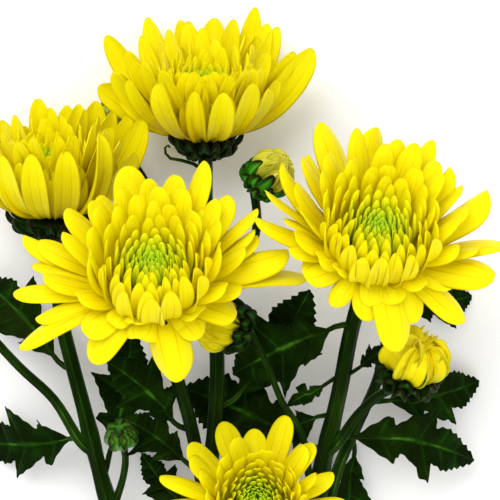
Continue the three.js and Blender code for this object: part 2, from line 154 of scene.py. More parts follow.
def node(tree, kind, settings=None, **sockets):
    """Adds a node with its settings. Each socket gets a value, or the output that it is linked from."""
    made = tree.nodes.new("ShaderNode" + kind)
    for key, value in (settings or {}).items():
        setattr(made, key, value)
    for key, value in sockets.items():
        socket = made.inputs[int(key[1:])] if key[1:].isdigit() else made.inputs[key.replace("_", " ")]
        if isinstance(value, bpy.types.NodeSocket):
            tree.links.new(value, socket)
        else:
            socket.default_value = value
    return made


def set_values(shader, **values):
    """Sets these inputs of a shader."""
    for key, value in values.items():
        shader.inputs[key.replace("_", " ")].default_value = value


def maths(tree, operation, *values):
    """The result of this operation on these values or outputs."""
    sockets = {f"_{place}": value for place, value in enumerate(values)}
    return node(tree, "Math", {"operation": operation}, **sockets).outputs[0]


def from_midline(tree, across):
    """How far a point of a blade is from its middle line, as a share of its width: 0.5 at its edges."""
    return maths(tree, "ABSOLUTE", maths(tree, "SUBTRACT", across, 0.5))


def ramp(tree, factor, stops):
    """A colour ramp with these (place, hex colour) stops."""
    made = node(tree, "ValToRGB", Fac=factor)
    elements = made.color_ramp.elements
    while len(elements) < len(stops):
        elements.new(0.5)
    for element, (place, code) in zip(elements, stops):
        element.position = place
        element.color = linear(code)
    return made.outputs["Color"]


def new_material(name):
    """A material with its node tree and its main shader."""
    made = bpy.data.materials.new(name)
    made.use_nodes = True
    tree = made.node_tree
    return made, tree, tree.nodes["Principled BSDF"]


def stem_material():
    """Ribbed green stem: waxy skin, so a low soft shine; ribs paler than the furrows, streaked lengthwise."""
    made, tree, skin = new_material("ribbed_green_stem")
    around = node(tree, "UVMap", {"uv_map": "UVMap"}).outputs["UV"]
    split = node(tree, "SeparateXYZ", Vector=around)
    turn = maths(tree, "MULTIPLY", split.outputs["X"], RIBS * math.tau)
    wave = maths(tree, "COSINE", turn)
    place = node(tree, "TexCoord").outputs["Object"]
    # Streaks about 4 mm apart, drawn out along the stem, and larger drifts of tone of about 25 mm.
    stretched = node(tree, "Mapping", Vector=place, Scale=(1, 0.15, 1))
    streaks = node(tree, "TexNoise", Vector=stretched.outputs[0], Scale=1 / (4 * MM) / 2, Detail=4.0)
    drift = node(tree, "TexNoise", Vector=place, Scale=1 / (25 * MM), Detail=2.0)
    rib = node(tree, "MapRange", Value=wave, From_Min=0.75, From_Max=1.0, To_Min=0.0, To_Max=1.0)
    tone = maths(tree, "MULTIPLY_ADD", rib.outputs[0], 0.16, streaks.outputs["Fac"])
    both = maths(tree, "MULTIPLY_ADD", drift.outputs["Fac"], 0.4, tone)
    colour = ramp(tree, both, [(0.42, "#061001"), (0.7, "#0c2003"), (0.9, "#1e3e08"), (1.0, "#4a7a1c")])
    tree.links.new(colour, skin.inputs["Base Color"])
    bump = node(tree, "Bump", Strength=0.35, Distance=0.2 * MM, Height=streaks.outputs["Fac"])
    tree.links.new(bump.outputs[0], skin.inputs["Normal"])
    set_values(skin, Roughness=0.42, Specular_IOR_Level=0.1, Specular_Tint=linear("#b4d45a"))
    return made


def pith_material():
    """Cut pith: moist, pale and spongy, with fine pores."""
    made, tree, skin = new_material("cut_pith")
    place = node(tree, "TexCoord").outputs["Object"]
    pores = node(tree, "TexVoronoi", Vector=place, Scale=1 / (0.5 * MM))
    colour = ramp(tree, pores.outputs["Distance"], [(0.1, "#8fa05a"), (0.7, "#d5dcab")])
    tree.links.new(colour, skin.inputs["Base Color"])
    set_values(skin, Roughness=0.5)
    return made


stem_green = stem_material()
cut_pith = pith_material()
stem_lines = {}  # each stem's middle line and radii, from its foot to its end
for name in STEMS:
    found = [layer for layer in rings(name) if len(layer) > 2]
    centres = [middle_of(layer) for layer in found]
    radii = [sum((p - c).length for p in layer) / len(layer) for layer, c in zip(found, centres)]
    stem_lines[name] = (centres, radii)
shares = [i / STEM_PLACES for i in range(STEM_PLACES + 1)]
stem_places = {  # spots along each stem's middle line, each with the radius there
    name: [(along(centres, share), radii[round(share * (len(radii) - 1))]) for share in shares]
    for name, (centres, radii) in stem_lines.items()
}


def swollen(name, point):
    """How much thicker a stem is at this point because something grows from it there."""
    most = 0
    for other, (centres, radii) in stem_lines.items():
        if other != name:
            distance = (centres[0] - point).length
            most = max(most, min(1, radii[0] / MM) * math.exp(-((distance / SWELLING_LENGTH) ** 2)))
    return 1 + SWELLING * most


def rooted_in(name, foot, back):
    """The point on another stem's middle line that this foot grows from, and how thick that stem is there."""
    places = (foot + back * step * BACK_STEP for step in range(BACK_STEPS))
    found = (
        ((place - spot).length, spot, radius)
        for place in places
        for other, spots in stem_places.items()
        if other != name
        for spot, radius in spots
    )
    return min(found, key=lambda place: place[0])[1:]


def rod(bm, centres, radii, ribs=RIBS, depth=RIB_DEPTH, sides=RIB_SIDES, swell=lambda point: 1):
    """A closed ribbed rod along the smooth line through centres. Returns the faces that close its ends."""
    length = sum((b - a).length for a, b in zip(centres, centres[1:]))
    steps = max(4, int(length / STEM_STEP))
    sheet = bmesh.ops.create_grid(bm, x_segments=sides, y_segments=steps, size=1, calc_uvs=True)["verts"]
    side = None
    lines = {}
    for step in range(steps + 1):
        share = step / steps
        point = along(centres, share)
        tangent = (along(centres, share + 0.01) - along(centres, share - 0.01)).normalized()
        side = side or UP.orthogonal() + UP
        side = (side - tangent * side.dot(tangent)).normalized()
        place = share * (len(radii) - 1)
        i = min(int(place), len(radii) - 2)
        radius = radii[i] + (radii[i + 1] - radii[i]) * (place - i)
        lines[step] = (point, side.copy(), tangent.cross(side), radius * swell(point))
    for v in sheet:
        step = round((v.co.y + 1) / 2 * steps)
        point, a, b, radius = lines[step]
        turn = (v.co.x + 1) * math.pi
        radius *= 1 + depth * math.cos(ribs * turn)
        v.co = point + a * radius * math.cos(turn) + b * radius * math.sin(turn)
    bmesh.ops.remove_doubles(bm, verts=sheet, dist=SEAM)
    ends = [e for e in bm.edges if e.is_boundary]
    return bmesh.ops.holes_fill(bm, edges=ends, sides=0)["faces"]


HOOK = [
    (0.0, 0.0, 0.0), (-2.4, 1.3, 0.4), (-5.0, 1.7, 0.5), (-7.4, 2.0, 0.5), (-8.9, 2.9, 0.4),
    (-9.5, 4.1, 0.2), (-9.6, 5.3, 0.1), (-9.1, 6.1, 0.2), (-8.3, 6.1, 0.5), (-8.1, 5.5, 0.8),
]  # the run of the hooked bract from its foot, in millimetres
HOOK_RADII = [0.6 * MM, 0.5 * MM, 0.35 * MM, 0.3 * MM]
for name in STEMS:
    centres, radii = (list(values) for values in stem_lines[name])
    grows = name != "main_stem"
    if grows:
        spot, around = rooted_in(name, centres[0], (centres[0] - centres[1]).normalized())
        centres.insert(0, spot)
        radii[0] *= FOOT_FLARE
        radii.insert(0, min(radii[0] * ROOT_FLARE, ROOT_LIMIT * around))
    if name == "curled_bract":
        centres = [spot] + [centres[1] + Vector(step) * MM for step in HOOK]
        radii = HOOK_RADII
    else:
        ahead = (centres[-1] - centres[-2]).normalized()
        centres[-1] = centres[-1] + ahead * END_OVERRUN
    bm = bmesh.new()
    bm.loops.layers.uv.new("UVMap")
    caps = rod(bm, centres, radii, swell=lambda point: swollen(name, point))
    bmesh.ops.recalc_face_normals(bm, faces=bm.faces)
    if not grows:
        # The clean cut: the skin stands round a slightly sunk pith.
        cut = min(caps, key=lambda f: f.calc_center_median().y)
        bmesh.ops.inset_region(bm, faces=[cut], thickness=CUT_SKIN, depth=0)
        bmesh.ops.inset_region(bm, faces=[cut], thickness=CUT_SLOPE, depth=-CUT_DEPTH)
        cut.material_index = 1
    finish_piece("grown_" + name, bm, [stem_green, cut_pith], [name])

# ---- Petal and bract blades ------------------------------------------
# Every petal and bract of the plant is a thin blade that leaves its foot, bends along one curve, and closes in
# a round tip. It is widest past its middle, dished along its length, and has two shallow furrows.
TIP_GATHER = 1.3
FLANK = 1.4  # how hollow a blade's flanks are towards its foot, and how full towards its tip
SHOULDER = 2.4
TIP_WIDTH = 0.05
CURL_FROM = 0.7  # the share of the length from which the tip curls


def blade(bm, foot, knee, tip, across, half_width, cup=0.2, columns=6, rows=10, twist=0.0, curl=0.0,
          narrow=0.3, widest=0.68, pointed=0.4, furrow=0.03, ripple=0.0, marks=(0.5, 0.0), phase=0.0):
    """Adds one blade. across points along its width, and its hollow face looks to tangent x across.

    narrow is the foot's width as a share of the widest, which is at the share widest of the length. A smaller
    pointed makes a blunter tip. cup dishes the blade, furrow and ripple mould its face, twist turns it and curl
    bends its tip. marks are its tint and its youth.
    """
    sheet = bmesh.ops.create_grid(bm, x_segments=columns, y_segments=rows, size=1, calc_uvs=True)["verts"]
    length = (tip - foot).length
    tint, youth = bm.verts.layers.float["tint"], bm.verts.layers.float["youth"]
    for v in sheet:
        # The rows gather towards the tip, whose outline bends the most.
        u, s = v.co.x, 1 - (1 - (v.co.y + 1) / 2) ** TIP_GATHER
        if s < widest:
            width = narrow + (1 - narrow) * math.sin(s / widest * math.pi / 2) ** FLANK
        else:
            width = max(TIP_WIDTH, 1 - ((s - widest) / (1 - widest)) ** SHOULDER) ** pointed
        width *= half_width
        t = s - 0.015 * u * u * s**8
        point = foot * (1 - t) ** 2 + knee * 2 * t * (1 - t) + tip * t * t
        tangent = ((knee - foot) * (1 - t) + (tip - knee) * t).normalized()
        wide = (across - tangent * across.dot(tangent)).normalized()
        wide = Matrix.Rotation(twist * s, 3, tangent) @ wide
        face = tangent.cross(wide)
        dish = cup * u * u + furrow * (math.cos(3 * math.pi * u) - 1) * math.sin(math.pi * min(1, s * 1.05))
        dish += ripple * abs(u) * math.sin(math.tau * (1.6 * s + phase) + 2 * u)
        hook = curl * length * max(0, s - CURL_FROM) ** 2
        v.co = point + wide * u * width * (1 - 0.25 * min(cup, 1) * u * u) + face * (dish * width + hook)
        v[tint], v[youth] = marks


def blade_mesh():
    """An empty mesh for blades, with its UV map and the values that their materials read."""
    bm = bmesh.new()
    bm.loops.layers.uv.new("UVMap")
    bm.verts.layers.float.new("tint")
    bm.verts.layers.float.new("youth")
    return bm


def thicken(piece, thickness):
    """Gives the blades their thickness and rounds them off."""
    wall = piece.modifiers.new("thickness", "SOLIDIFY")
    wall.thickness = thickness
    wall.offset = 0
    wall.use_even_offset = False
    soft = piece.modifiers.new("soft", "SUBSURF")
    soft.levels = soft.render_levels = 1


def head_about(base, up, centre, points):
    """A head's own frame: the middle of its foot, the way it faces, its right and its back, and its size."""
    right = (Vector((1, 0, 0)) - up * up.x).normalized()
    radius = max(((point - centre) - up * (point - centre).dot(up)).length for point in points)
    top = max((point - base).dot(up) for point in points)
    return {"base": base, "up": up, "right": right, "back": up.cross(right), "radius": radius, "top": top}


def head_frame(cup_node, top_node):
    """The frame of a flower or bud, found from its packed cup and from what stands in it."""
    meshes = [merged(cup_node), merged(top_node)]
    below, above = ([v.co.copy() for v in bm.verts] for bm in meshes)
    for bm in meshes:
        bm.free()
    low, high = middle_of(below), middle_of(above)
    up = (high - low).normalized()
    base = low + up * max((point - low).dot(up) for point in below)
    return head_about(base, up, high, above)


def at(head, turn, radius, height):
    """The place at this angle round a head, this far from its axis and this far above its base."""
    flat = head["right"] * math.cos(turn) + head["back"] * math.sin(turn)
    return head["base"] + flat * radius + head["up"] * height


def round_of(head, turn, lit=0.0):
    """The way along the rim, so that a blade's hollow face looks inwards. lit turns it up, most at the back."""
    along_rim = head["right"] * math.sin(turn) - head["back"] * math.cos(turn)
    outwards = head["right"] * math.cos(turn) + head["back"] * math.sin(turn)
    to_light = UP.cross(outwards + head["up"])
    share = lit * min(1, max(0, 0.9 + 1.6 * math.sin(turn)))
    return (along_rim * (1 - share) + to_light.normalized() * share).normalized()


# ---- Cups of bracts --------------------------------------------------
# Under each flower and bud sits the green cup: a shallow bowl that widens from the stalk, covered by rows of
# small overlapping bracts with thin purple-brown edges. It is firm, matt and very dark green.


BOWL_OUTLINE = [(0.22, -1.0), (0.42, -0.95), (0.68, -0.6), (0.8, -0.25), (0.75, 0.05), (0.3, 0.05)]
BOWL_STEPS = 28
BRACT_THICKNESS = 1.0 * MM


def bract_material(name, stops):
    """Bract: thick leafy tissue with a dry purple-brown margin, faintly downy, so it hardly shines. Its paler
    middle is a painted highlight on the rounded bract, and its darkening towards the sides is partly painted
    shade.
    """
    made, tree, skin = new_material(name)
    across = node(tree, "UVMap", {"uv_map": "UVMap"}).outputs["UV"]
    split = node(tree, "SeparateXYZ", Vector=across)
    edge = from_midline(tree, split.outputs["X"])
    tip = maths(tree, "POWER", split.outputs["Y"], 6.0)
    # Palest up the middle as a painted highlight, darker towards the sides as partly painted shade, and brown at
    # the edge and tip as the bract's own dry margin.
    rim = maths(tree, "MULTIPLY_ADD", edge, 1.2, tip)
    place = node(tree, "TexCoord").outputs["Object"]
    mottle = node(tree, "TexNoise", Vector=place, Scale=1 / (3 * MM), Detail=3.0)
    blend = maths(tree, "MULTIPLY_ADD", mottle.outputs["Fac"], 0.35, rim)
    tree.links.new(ramp(tree, blend, stops), skin.inputs["Base Color"])
    bump = node(tree, "Bump", Strength=0.3, Distance=0.15 * MM, Height=mottle.outputs["Fac"])
    tree.links.new(bump.outputs[0], skin.inputs["Normal"])
    set_values(skin, Roughness=0.45, Specular_IOR_Level=0.15, Specular_Tint=linear("#b4d45a"))
    return made


# The palest stop is the painted highlight up each bract's middle.
bract_green = bract_material(
    "green_bract", [(0.1, "#2a6014"), (0.45, "#16400a"), (0.75, "#0b2104"), (1.0, "#120b03")]
)
bract_fresh = bract_material(
    "young_bract", [(0.1, "#5aa82a"), (0.5, "#348216"), (0.8, "#174a0a"), (1.0, "#1c1405")]
)


def cup_of_bracts(name, head, radius, height, rows, seed, skin=bract_green):
    """The bowl and its rows of bracts.

    Each row is (count, foot, knee, tip, half width). The foot, knee and tip are each a radius and a height, as
    shares of the cup's.
    """
    chance = random.Random(seed)
    bm = blade_mesh()
    points = [bm.verts.new(at(head, 0, r * radius, h * height)) for r, h in BOWL_OUTLINE]
    line = [bm.edges.new(pair) for pair in zip(points, points[1:])]
    bmesh.ops.spin(
        bm, geom=points + line, cent=head["base"], axis=head["up"],
        angle=math.tau, steps=BOWL_STEPS, use_merge=True,
    )
    bmesh.ops.remove_doubles(bm, verts=bm.verts, dist=SEAM)
    bmesh.ops.holes_fill(bm, edges=[e for e in bm.edges if e.is_boundary], sides=0)
    bmesh.ops.recalc_face_normals(bm, faces=bm.faces)
    finish_piece(name + "_bowl", bm, [skin], [name])
    bm = blade_mesh()
    for row, (count, foot, knee, tip, half_width) in enumerate(rows):
        for i in range(count):
            turn = math.tau * (i + 0.5 * (row % 2)) / count + chance.uniform(-0.1, 0.1)
            grow = chance.uniform(0.9, 1.1)
            blade(
                bm,
                at(head, turn, foot[0] * radius, foot[1] * height),
                at(head, turn, knee[0] * radius * grow, knee[1] * height),
                at(head, turn, tip[0] * radius * grow, tip[1] * height * grow),
                round_of(head, turn),
                half_width * chance.uniform(0.9, 1.1),
                cup=0.75, columns=4, rows=6, narrow=0.45, widest=0.55, pointed=0.5, furrow=0.0,
                twist=chance.uniform(-0.3, 0.3), curl=-0.8 * chance.random(),
                marks=(chance.random(), 0.0),
            )
    bracts = finish_piece(name + "_bracts", bm, [skin], [])
    thicken(bracts, BRACT_THICKNESS)


# ---- Open flowers ----------------------------------------------------
# Each open flower is a double one. Long satin petals lie round the rim, shorter ones stand inside them like
# shingles, more upright towards the middle, and a nest of young lime-green florets closes the eye.


GOLDEN_ANGLE = math.pi * (3 - math.sqrt(5))
SHORTEST_PETAL = 12 * MM  # no petal of a packed whorl ends nearer to the foot of its head than this
RIM_SPREAD = 0.35  # radians over which the rim is smoothed
RIM_FOOT = (3.5 * MM, 1.7 * MM)  # the radius and height at which the long petals leave the head
RIM_KNEE = 0.42  # the share of a long petal's reach at which it bends
FRONT_SLOPE = math.radians(16)  # the long petals in front leave the head this much steeper
OVERLAY = 1.5 * MM  # how far a petal lies above the ones that it covers
OPEN_FACE = 0.6  # a flower whose axis has more of +Z than this shows its open face from above
NEST_RADIUS = 10 * MM
NEST_EDGE = 0.5 * MM  # how far the nest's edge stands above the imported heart
EYE_DEPTH = 4.2 * MM  # and how far its middle is sunk below that
EYE_RADIUS = 0.4 * MM
PETAL_THICKNESS = 0.35 * MM
FLORET_THICKNESS = 0.3 * MM
CUP_SHARE = 0.88  # the bowl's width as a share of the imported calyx's
FLOWER_BRACTS = [
    (8, (0.3, -0.75), (0.7, -1.05), (0.86, -0.5), 1.6 * MM),
    (12, (0.4, -0.55), (1.0, -0.8), (1.1, -0.05), 1.8 * MM),
    (15, (0.5, -0.3), (1.15, -0.35), (1.3, 0.55), 1.8 * MM),
]


def petal_material(name, stops, green):
    """Chrysanthemum petal: thin, moist and slightly see-through, with a satin face and fine lengthwise veins.

    stops are its yellows, and green the two values of youth between which it turns lime green.
    """
    made, tree, skin = new_material(name)
    uv = node(tree, "UVMap", {"uv_map": "UVMap"}).outputs["UV"]
    split = node(tree, "SeparateXYZ", Vector=uv)
    tint = node(tree, "Attribute", {"attribute_name": "tint"}).outputs["Fac"]
    youth = node(tree, "Attribute", {"attribute_name": "youth"}).outputs["Fac"]
    place = node(tree, "TexCoord").outputs["Object"]
    # Nine fine veins across the petal, about a millimetre apart, and two furrows a third of the way out, drawn
    # as dark lines of painted shade.
    turn = maths(tree, "MULTIPLY", split.outputs["X"], 9 * math.tau)
    veins = maths(tree, "COSINE", turn)
    away = from_midline(tree, split.outputs["X"])
    beside = maths(tree, "SUBTRACT", away, 0.165)
    apart = maths(tree, "ABSOLUTE", beside)
    furrow_shade = node(tree, "MapRange", Value=apart, From_Min=0.004, From_Max=0.028, To_Min=1.0, To_Max=0.0)
    mottle = node(tree, "TexNoise", Vector=place, Scale=1 / (6 * MM), Detail=3.0)
    # Painted shade: the margin is darkened at both sides and round the tip, as the shade along each petal's
    # edge.
    margin = node(tree, "MapRange", Value=away, From_Min=0.44, From_Max=0.49)
    end = node(tree, "MapRange", Value=split.outputs["Y"], From_Min=0.955, From_Max=0.99)
    edge = maths(tree, "MAXIMUM", margin.outputs[0], end.outputs[0])
    # The tone rises from foot to tip: the deeper olive foot is partly the petal's own colour and partly painted
    # shade deep in the head, where the petals overlap.
    tone = maths(tree, "MULTIPLY_ADD", veins, 0.012, split.outputs["Y"])
    tone = maths(tree, "MULTIPLY_ADD", edge, -0.55, tone)
    # Painted shade: the two furrow lines darken the tone.
    tone = maths(tree, "MULTIPLY_ADD", furrow_shade.outputs[0], -0.34, tone)
    tone = maths(tree, "MULTIPLY_ADD", mottle.outputs["Fac"], 0.3, tone)
    tone = maths(tree, "MULTIPLY_ADD", tint, 0.25, tone)
    yellow = ramp(tree, tone, stops)
    # Young petals are lime green, and greenest towards the foot.
    foot = maths(tree, "MULTIPLY_ADD", split.outputs["Y"], -0.25, youth)
    share = node(tree, "MapRange", Value=foot, From_Min=green[0], From_Max=green[1])
    lime = ramp(tree, split.outputs["Y"], [(0.0, "#35800e"), (0.55, "#79b516"), (1.0, "#b8d41e")])
    # The two colours of a Mix node are its inputs 6 and 7, and the mixed one is its output 2.
    both = node(tree, "Mix", {"data_type": "RGBA"}, Factor=share.outputs[0], _6=yellow, _7=lime)
    tree.links.new(both.outputs[2], skin.inputs["Base Color"])
    bump = node(tree, "Bump", Strength=0.12, Distance=0.12 * MM, Height=veins)
    tree.links.new(bump.outputs[0], skin.inputs["Normal"])
    set_values(
        skin, Roughness=0.46, Specular_Tint=linear("#ffe65a"), IOR=1.4, Subsurface_Weight=0.15,
        Subsurface_Radius=(1.0, 0.9, 0.05), Subsurface_Scale=1.5 * MM,
    )
    return made


# The dark olive stops, reached at the feet, in the furrows and along the margins, carry the painted shade of the
# petals.
petal_yellow = petal_material(
    "petal_yellow",
    [(0.1, "#a59200"), (0.35, "#cdb600"), (0.65, "#e4d000"), (1.0, "#f2e40a")],
    (0.1, 0.7),
)


def tips(node_name, head):
    """Where a whorl's petals end, as (angle round the head, distance from its axis, height above its base)."""
    bm = merged(node_name)
    found = []
    for v in bm.verts:
        spot = v.co - head["base"]
        beside = [(e.other_vert(v).co - head["base"]).length for e in v.link_edges]
        if spot.length > SHORTEST_PETAL and max(beside) < spot.length:
            x, y = spot.dot(head["right"]), spot.dot(head["back"])
            found.append((math.atan2(y, x) % math.tau, math.hypot(x, y), spot.dot(head["up"])))
    bm.free()
    return sorted(found)


def rim_at(ends, turn):
    """The rim's distance and height at this angle, smoothed over the petals that end near it."""
    total = radius = height = 0
    for angle, r, h in ends:
        apart = (angle - turn + math.pi) % math.tau - math.pi
        weight = math.exp(-((apart / RIM_SPREAD) ** 2)) + 1e-6
        total += weight
        radius += weight * r
        height += weight * h
    return radius / total, height / total


def mix(a, b, share):
    """The value this share of the way from a to b."""
    return a + (b - a) * share


def flower(name, seed, half_width, leave, lean,
           shingles=26, erect=44, florets=84, ragged=(0.66, 0.9), splay=1.0):
    """An open flower: its rim of long petals, the shorter ones within, the erect ones and the nest of the eye.

    leave is how steeply the long petals leave the head, and lean how far the erect ones and the nest bend back.
    shingles, erect and florets are how many petals each zone has. ragged is how long the petals between the long
    ones are, as shares of these, and splay widens the cup of bracts.
    """
    chance = random.Random(seed)
    head = head_frame(name + "_calyx", name + "_heart")
    outer = tips(name + "_outer_petals", head)
    middle = tips(name + "_middle_petals", head)
    nest_top = head["top"] + NEST_EDGE
    open_front = head["up"].z > OPEN_FACE
    lit = 0.35 if open_front else 0.75
    bm, eye = blade_mesh(), blade_mesh()
    # The rim: each long petal, and one beside it that is a little shorter and lies over it. An open flower's
    # front and right have only the long ones, and these are broader.
    rim = [(turn, r, h, 1.0) for turn, r, h in outer]
    following = outer[1:] + [(outer[0][0] + math.tau, *outer[0][1:])]
    for (turn, r, h), (after, r2, h2) in zip(outer, following):
        share = chance.uniform(0.4, 0.6)
        shorter = chance.uniform(*ragged)
        beside = mix(turn, after, share)
        if open_front and (math.sin(beside) < -0.4 or math.cos(beside) > 0.93):
            continue
        rim.append((beside, mix(r, r2, share) * shorter, mix(h, h2, share) * shorter + OVERLAY, 0.85))
    for turn, r, h, broad in rim:
        knee_reach = RIM_KNEE * math.hypot(r, h)
        steep = leave + FRONT_SLOPE * (max(0, -math.sin(turn)) if open_front else 0)
        knee = (RIM_FOOT[0] + knee_reach * math.cos(steep), RIM_FOOT[1] + knee_reach * math.sin(steep))
        if open_front and (math.sin(turn) < -0.85 or math.cos(turn) > 0.9):
            broad *= 1.2
        blade(
            bm, at(head, turn, *RIM_FOOT), at(head, turn, *knee), at(head, turn, r, h),
            round_of(head, turn, lit),
            half_width * broad * chance.choice((0.85, 1.0, 1.08, 1.2)),
            cup=chance.choice((0.2, 0.25, 0.3, 0.4, 0.7)), rows=12, twist=chance.uniform(-0.35, 0.35),
            curl=chance.uniform(-0.3, 0.8), ripple=0.05, marks=(chance.random(), 0.0), phase=chance.random(),
        )
    # The other petals follow one another round the head by the golden angle, from the rim to the eye.
    petal_count = shingles + erect
    for k in range(petal_count + florets):
        turn = (k * GOLDEN_ANGLE + seed) % math.tau
        ro, ho = rim_at(outer, turn)
        rm, hm = rim_at(middle, turn)
        front = max(0, -math.sin(turn)) ** 0.7
        nest_r = min(NEST_RADIUS, 0.55 * rm)
        if k < shingles:
            # Between the rim and the middle ring: nearly flat, and flattest in front.
            part = (k + 0.5) / shingles
            r = mix(0.9 * ro, 1.1 * rm, part) * (1 - 0.2 * front * open_front)
            h = mix(mix(ho + OVERLAY, hm, part), ho + 6 * MM, front * 0.8)
            wide, dish, curl = mix(0.95, 0.8, part), 0.3, 0.4
            youth, pointed = 0.0, 0.4
            foot, knee = (4 * MM, 2.2 * MM), (mix(4 * MM, r, 0.55), mix(2.2 * MM, h, 0.12) + 3 * MM * front)
            columns, rows, bend = 6, 10, 0
        elif k < petal_count:
            # From the middle ring to the nest: ever more upright, narrower and greener.
            part = (k - shingles + 0.5) / erect
            r = mix(mix(rm, 0.7 * rm, front), nest_r, part**0.8)
            h = mix(mix(hm, 0.82 * hm, front), nest_top, part**0.7)
            wide, dish, curl = mix(0.88, 0.4, part**0.8), 0.35, 0.5
            youth, pointed = 0.2 * part, mix(0.4, 0.55, part)
            out = mix(0.85, 1.2, part) + 0.45 * front
            low = mix(0.3, 0.05, front * (1 - part))
            foot, knee = (3.6 * MM, 2.4 * MM), (mix(3.6 * MM, r, out) + 1.5 * MM, mix(2.4 * MM, h, low))
            columns, rows, bend = 6, 9, 0.5 + 0.5 * part
        else:
            # The nest: small florets that bend inwards over a sunk eye.
            part = (k - petal_count + 0.5) / florets
            r = mix(nest_r, EYE_RADIUS, part**0.75)
            h = nest_top - EYE_DEPTH * (1 - r / nest_r) ** 1.1
            wide, dish, curl = mix(0.37, 0.19, part), 0.5, mix(0.7, 1.1, part)
            youth, pointed = 0.32 + 0.68 * part, 0.6
            foot = (0.9 * r + 0.6 * MM, mix(5, 9, part) * MM)
            knee = (1.15 * r + 1.5 * MM, mix(foot[1], h, 0.7))
            columns, rows, bend = 4, 6, 1
        if open_front and k < shingles and front > 0.6 and k % 2:
            continue
        in_nest = k >= petal_count
        grow = chance.uniform(0.94, 1.06)
        turn += chance.uniform(-0.08, 0.08)
        rise = chance.uniform(-0.8, 0.8) * mix(1.3, 0.5, k / (petal_count + florets)) * MM
        back = head["back"] * lean * bend
        blade(
            eye if in_nest else bm,
            at(head, turn, *foot) - back, at(head, turn, *knee) - back, at(head, turn, r * grow, h + rise),
            round_of(head, turn, 0 if in_nest else lit * (1 - k / petal_count)),
            wide * half_width * chance.uniform(0.88, 1.12),
            cup=dish * chance.uniform(0.7, 1.3), columns=columns, rows=rows, pointed=pointed,
            furrow=0 if in_nest else 0.03, twist=chance.uniform(-0.3, 0.3),
            curl=curl * chance.uniform(0.3, 1.3), ripple=0.04, marks=(chance.random(), youth),
            phase=chance.random(),
        )
    petals = finish_piece(
        name + "_petals", bm, [petal_yellow], [name + "_outer_petals", name + "_middle_petals"]
    )
    thicken(petals, PETAL_THICKNESS)
    nest = finish_piece(name + "_nest", eye, [petal_yellow], [name + "_heart"])
    thicken(nest, FLORET_THICKNESS)
    calyx = merged(name + "_calyx")
    spots = [v.co - head["base"] for v in calyx.verts]
    calyx.free()
    reach = max((spot - head["up"] * spot.dot(head["up"])).length for spot in spots)
    depth = -min(spot.dot(head["up"]) for spot in spots)
    cup_of_bracts(name + "_calyx", head, reach * CUP_SHARE * splay, depth, FLOWER_BRACTS, seed)
    return head


flower("top_flower", 11, 4.4 * MM, math.radians(6), 0.5 * MM)
flower("left_flower", 12, 4.2 * MM, math.radians(6), 0.5 * MM, splay=1.2)
front_head = flower("front_flower", 13, 5.1 * MM, math.radians(8), 3.5 * MM)
flower("right_flower", 14, 4.9 * MM, math.radians(8), 3.5 * MM)
flower(
    "lower_flower", 15, 4.2 * MM, math.radians(8), 1 * MM,
    shingles=10, erect=40, florets=90, ragged=(0.5, 0.66),
)

# ---- Buds ------------------------------------------------------------
# A bud that is about to open is a ball of petals folded over its top like claws, in a green cup. A younger one
# is still a shut green ball of bracts.
YOUNG_BUD = 0.4  # a bud of more youth than this is olive, in a fresh green cup
BUD_WALL = 0.5 * MM
BUD_LAYERS = [  # width, and the shares of the bud's radius and height that a layer reaches, from the outside in
    (1.45, 1.0, 0.88), (1.4, 0.86, 0.97), (1.4, 0.66, 0.84), (1.4, 0.4, 0.86),
]
SHUT_LAYERS = [  # count, size, and the angles up the ball at which its bracts start and end
    (7, 1.04, -60, 25), (8, 1.0, -25, 60), (7, 0.97, 10, 82), (4, 0.92, 45, 90),
]
bud_yellow = petal_material(
    "bud_yellow",
    [(0.15, "#a9ad18"), (0.5, "#d4c80c"), (0.95, "#eed80a"), (1.3, "#f6e41c")],
    (0.1, 0.7),
)
bud_olive = petal_material(
    "bud_olive",
    [(0.15, "#8a8c1e"), (0.5, "#b4b232"), (0.95, "#d0c840"), (1.3, "#ded650")],
    (0.3, 1.2),
)


